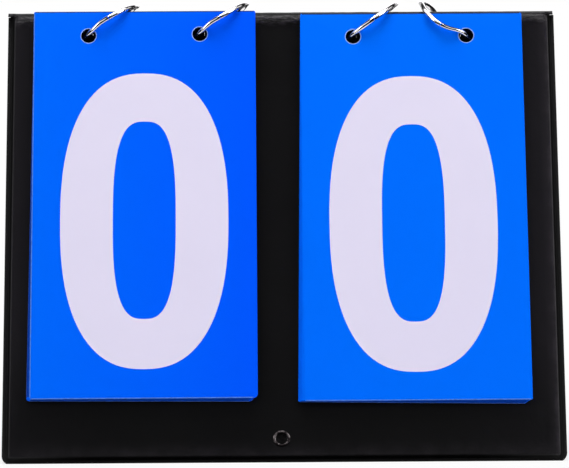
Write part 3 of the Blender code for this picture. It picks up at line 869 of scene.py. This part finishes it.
ring = {"radius": ringRadius, "wire": 0.00106, "sides": 28, "stepsPerDegree": 0.5, "hinge": math.radians(-105),
        "latch": math.radians(75), "latchGap": 0.0003, "tab": 0.0016, "tabThick": 0.0008, "tabOffset": 0.0005,
        "neck": 0.0030, "pinHole": 0.00085, "pinSteps": 32, "drill": 0.002,
        "pin": 0.0007, "head": 0.0012, "headSpan": (0.0011, 0.00145)}
# for each ring: degrees round it from the apex towards the front, and how many millimetres the wire is sprung out of
# the ring's plane there
sprungAt = [
    [(-110, 0), (-75, 0), (-30, 0.1), (-10, 0.9), (5, 1.2), (25, 1.0), (45, 0.5), (65, -0.1), (90, -0.5),
     (108, -0.1), (119, 0), (130, 0)],
    [(-110, 0), (-75, 0), (-20, -0.4), (0, 0.1), (25, 0.3), (45, 0.2), (65, 0), (90, -0.4), (108, -0.1),
     (119, 0), (130, 0)],
    [(-110, 0), (-75, 0), (-20, 0.1), (0, 0.4), (25, 0.7), (45, 0.8), (65, 0.5), (90, 0.3), (108, 0.1),
     (119, 0), (130, 0)],
    [(-115, 0), (-95, 0), (-75, 1.5), (-60, 2.5), (-40, 2.2), (-20, 1.2), (0, 0.2), (15, -0.7), (35, -2.4),
     (55, -3.5), (72, -3.6), (88, -2.6), (100, -1.1), (110, -0.2), (119, 0), (130, 0)],
]


def ringPlace(k):                              # the ring's own X is its axis and its Z points to its apex
    joint = joints[f"ring_{k}_turn"]
    x = Vector(joint["axis"]).normalized()
    y = Vector((-x.y, x.x, 0)).normalized()
    z = x.cross(y)
    return Matrix.Translation(joint["pos_m"]) @ Matrix((x, y, z)).transposed().to_4x4()


def onRing(angle, radius):                     # from the apex towards the front
    return Vector((0, -radius * math.sin(angle), radius * math.cos(angle)))


def sprung(angle, knots):                      # a smooth run through the given places
    degrees = math.degrees((angle + math.pi) % (2 * math.pi) - math.pi)
    for i in range(1, len(knots) - 2):
        (a, before), (b, low), (c, high), (d, after) = knots[i - 1:i + 3]
        if b <= degrees <= c:
            t = (degrees - b) / (c - b)
            leave = (c - b) * (high - before) / (c - a)
            arrive = (c - b) * (after - low) / (d - b)
            start, end = (1 - t) ** 2, t * t
            out = start * (low * (1 + 2 * t) + leave * t) + end * (high * (3 - 2 * t) - arrive * (1 - t))
            return 0.001 * out
    return 0.0


def wireMesh(start, end, side, knots):         # a swept wire whose hinge end is hammered flat round the pin
    hingeAtStart = abs(start - ring["hinge"]) < 0.01
    beyond = ring["tab"] / ring["radius"]
    first, last = (start - beyond, end) if hingeAtStart else (start, end + beyond)
    steps = int(math.degrees(last - first) * ring["stepsPerDegree"])
    bm = bmesh.new()
    spot = onRing(first, ring["radius"])
    turn = Matrix.Rotation(first, 4, "X")
    circle = bmesh.ops.create_circle(bm, cap_ends=True, radius=ring["wire"], segments=ring["sides"],
                                     matrix=(Matrix.Translation(spot) @ turn
                                             @ Matrix.Rotation(math.pi / 2, 4, "X")))
    geom = circle["verts"] + list({e for v in circle["verts"] for e in v.link_edges}) + bm.faces[:]
    bmesh.ops.spin(bm, geom=geom, cent=(0, 0, 0), axis=(1, 0, 0), angle=last - first, steps=steps)
    hinge = start if hingeAtStart else end
    for v in bm.verts:
        angle = math.atan2(-v.co.y, v.co.z)
        away = (angle - hinge + math.pi) % (2 * math.pi) - math.pi
        if not hingeAtStart:
            away = -away
        along = away * ring["radius"]
        radial = math.hypot(v.co.y, v.co.z) - ring["radius"]
        flat = 1 - min(max((along - ring["neck"] * 0.45) / (ring["neck"] * 0.55), 0), 1)
        flat = flat * flat * (3 - 2 * flat)
        v.co.x += flat * (side * ring["tabOffset"] + v.co.x / ring["wire"] * ring["tabThick"] / 2 - v.co.x)
        if along < ring["tab"]:
            reach = math.sqrt(max(ring["tab"] ** 2 - along ** 2, 1e-9))
            swell = max(reach / ring["wire"], 0.02 if along < 0 else 0.8)
        else:
            swell = 1 - 0.2 * flat
        radial *= swell
        unit = Vector((0, v.co.y, v.co.z)).normalized()
        v.co = Vector((v.co.x + sprung(angle, knots), 0, 0)) + unit * (ring["radius"] + radial)
    bmesh.ops.recalc_face_normals(bm, faces=bm.faces[:])
    mesh = meshOf(bm, "wire")
    bm = bmesh.new()
    rivet = Matrix.Translation(onRing(hinge, ring["radius"])) @ Matrix.Rotation(math.pi / 2, 4, "Y")
    rod(bm, ring["pinHole"], -ring["drill"], ring["drill"], ring["pinSteps"], rivet)
    return carved(mesh, meshOf(bm, "hole"))


def pinMesh():                                 # a shaft with two domed heads, turned in one profile
    near, far = ring["headSpan"]
    half = [(0.0, far + 0.0001), (ring["head"] * 0.55, far + 0.00006), (ring["head"] * 0.9, far - 0.00012),
            (ring["head"], near), (ring["pin"], near)]
    bm = bmesh.new()
    lathed(bm, half + [(radius, -height) for radius, height in reversed(half)], ring["pinSteps"])
    bmesh.ops.recalc_face_normals(bm, faces=bm.faces[:])
    return meshOf(bm, "pin")


gapAngle = ring["latchGap"] / ring["radius"] / 2
pin = pinMesh()
for k in range(1, ringCount + 1):
    place = ringPlace(k)
    knots = sprungAt[k - 1]
    bow = wireMesh(ring["latch"] + gapAngle, ring["hinge"] + 2 * math.pi, 1, knots)
    gate = wireMesh(ring["hinge"], ring["latch"] - gapAngle, -1, knots)
    dress(f"ringBow_{k}", bow, ["chrome"], f"ring_{k}", [f"ring_{k}_bow"], place, 40)
    dress(f"ringGate_{k}", gate, ["chrome"], f"gate_{k}", [f"ring_{k}_gate"], place, 40)
    pinPlace = place @ Matrix.Translation(onRing(ring["hinge"], ring["radius"]))
    pinPlace = pinPlace @ Matrix.Rotation(math.pi / 2, 4, "Y")
    dress(f"ringPin_{k}", pin.copy(), ["chrome"], f"ring_{k}", [f"ring_{k}_pin"], pinPlace, 40)
print("rings closed")


# studio

studio = {"floor": 6.0, "paper": (0.86, 0.86, 0.86), "ambient": 0.27,
          # what the gloss sees, by direction: the walls from and to these heights, the ceiling and the wall behind
          "wallFoot": (0.34, 0.44), "wallTop": (0.68, 0.80), "wallBack": (-0.35, -0.10), "wallEdge": (0.06, 0.15),
          "widen": (0.30, 0.50), "widenBy": 0.10, "ceiling": (0.90, 0.97), "ceilingGlow": 0.35,
          "behind": (0.52, 0.70), "behindGlow": 0.55, "room": 0.01,
          # on the floor, by distance: where the lit sheet ends, where the board shades it, and where it whitens
          "sheet": (0.22, 0.34), "shade": (0.10, 0.14), "whiten": (0.14, 0.40),
          "clearX": (0.105, 0.118), "clearY": (0.050, 0.066)}


def worldLight():                              # white for the camera; the gloss sees a dark room with bright walls
    world = bpy.data.worlds.new("studio")
    bpy.context.scene.world = world
    world.use_nodes = True
    world.node_tree.nodes.clear()
    s = Sheet(world.node_tree)
    direction = s.node("TexCoord", output="Generated")
    x = s.axis(direction, "X")
    y = s.axis(direction, "Y")
    z = s.axis(direction, "Z")
    high = s.smooth(z, *studio["wallFoot"]) * (1 - s.smooth(z, *studio["wallTop"]))
    high = high * s.smooth(-1 * y, *studio["wallBack"])
    inner = studio["widenBy"] * s.smooth(z, *studio["widen"])     # wider above, clear of what the boards mirror
    right = s.smooth(x - inner, *studio["wallEdge"])
    left = s.smooth(-1 * x - inner, *studio["wallEdge"])
    above = studio["ceilingGlow"] * s.smooth(z, *studio["ceiling"])
    behind = studio["behindGlow"] * s.smooth(y, *studio["behind"])
    glow = s.clamp(studio["room"] + high * (right + left) + above + behind)
    white = s.node("Background", None, {"Color": (1, 1, 1), "Strength": 1.0})
    soft = s.node("Background", None, {"Color": (1, 1, 1), "Strength": studio["ambient"]})
    black = s.node("Background", None, {"Color": (0, 0, 0), "Strength": 0.0})
    mirrored = s.node("MixShader", None, {0: glow, 1: black, 2: white})
    lit = s.node("MixShader", None, {0: s.node("LightPath", output="Is Glossy Ray"), 1: soft, 2: mirrored})
    direct = s.node("LightPath", output="Is Camera Ray")
    seen = s.maths("MAXIMUM", direct, s.node("LightPath", output="Is Transmission Ray"))
    shown = s.node("MixShader", None, {0: seen, 1: lit, 2: white})
    output = world.node_tree.nodes.new("ShaderNodeOutputWorld")
    world.node_tree.links.new(shown.socket, output.inputs["Surface"])


def softbox(name, place, target, size, power):
    data = bpy.data.lights.new(name, "AREA")
    data.shape = "RECTANGLE"
    data.size, data.size_y = size
    data.energy = power
    lamp = newObject(name, data)
    lamp.location = place
    lamp.rotation_euler = (Vector(target) - Vector(place)).to_track_quat("-Z", "Y").to_euler()


def paperLook(s):
    place = s.place()
    fibre = s.cloud(place, 300.0, 3.0, 0.6)
    darker = tuple(0.98 * c for c in studio["paper"])
    return {"Base Color": s.mix(fibre, studio["paper"], darker), "Roughness": 0.9 + 0.05 * fibre}


def floorPiece():
    bm = bmesh.new()
    bmesh.ops.create_grid(bm, x_segments=1, y_segments=1, size=studio["floor"] / 2)
    floor = newObject("floor", meshOf(bm, "floor"))
    material = finish("white paper", paperLook, Specular_IOR_Level=0.0)
    s = Sheet(material.node_tree)
    shader = material.node_tree.nodes["Principled BSDF"]
    output = next(n for n in material.node_tree.nodes if n.type == "OUTPUT_MATERIAL")
    glow = s.node("Emission", None, {"Color": (1, 1, 1), "Strength": 1.0})
    place = s.place()
    glossy = s.node("LightPath", output="Is Glossy Ray")
    seen = s.maths("MAXIMUM", s.node("LightPath", output="Is Camera Ray"), glossy)
    clearX = s.smooth(s.maths("ABSOLUTE", s.axis(place, "X")), *studio["clearX"])
    clearY = s.smooth(s.maths("ABSOLUTE", s.axis(place, "Y")), *studio["clearY"])
    outside = s.maths("MAXIMUM", clearX, clearY)
    away = s.node("VectorMath", {"operation": "LENGTH"}, {0: place}, output="Value")
    white = seen * outside * (0.85 + 0.15 * s.smooth(away, *studio["whiten"]))
    mixed = s.node("MixShader", None, {0: white, 1: Signal(s, shader.outputs[0]), 2: glow})
    beyond = s.maths("MAXIMUM", s.smooth(away, *studio["sheet"]), 1 - s.smooth(away, *studio["shade"]))
    dark = s.node("Emission", None, {"Color": (0, 0, 0), "Strength": 0.0})
    mixed = s.node("MixShader", None, {0: glossy * beyond, 1: mixed, 2: dark})   # the sheet ends, for the gloss only
    material.node_tree.links.new(mixed.socket, output.inputs["Surface"])
    floor.data.materials.append(material)


worldLight()
floorPiece()
softbox("topBox", (0.0, -0.15, 1.20), (0, 0, 0.08), (0.9, 0.6), 10.3)
softbox("leftBox", (-1.25, -0.85, 0.55), (0, 0, 0.09), (0.5, 0.9), 4.7)
softbox("rightBox", (1.20, -0.80, 0.65), (0, 0, 0.09), (0.5, 0.9), 5.5)
softbox("rearBox", (0.2, 1.4, 0.7), (0, 0, 0.09), (1.2, 0.8), 4.7)

# focal length in pixels of a frame this many pixels wide, which a sensor of 36 mm takes in
camera = {"distance": 1.3946, "elevation": 2.0, "azimuth": -0.507, "roll": -0.302, "focal": 3357.7, "frame": 569,
          "sensor": 36.0, "clip": 0.05, "target": (0.00091, -0.03551, 0.0922)}


def aimCamera():
    data = bpy.data.cameras.new("camera")
    data.sensor_width = camera["sensor"]
    data.lens = camera["focal"] * camera["sensor"] / camera["frame"]
    data.clip_start = camera["clip"]
    item = newObject("camera", data)
    azimuth, elevation = math.radians(camera["azimuth"]), math.radians(camera["elevation"])
    level = math.cos(elevation)
    out = Vector((math.sin(azimuth) * level, -math.cos(azimuth) * level, math.sin(elevation)))
    item.location = Vector(camera["target"]) + camera["distance"] * out
    turn = (-out).to_track_quat("-Z", "Y").to_matrix().to_4x4()
    turn = turn @ Matrix.Rotation(math.radians(camera["roll"]), 4, "Z")
    item.rotation_euler = turn.to_euler()
    bpy.context.scene.camera = item


aimCamera()
bpy.context.scene.view_settings.view_transform = "Standard"
print("studio lit")
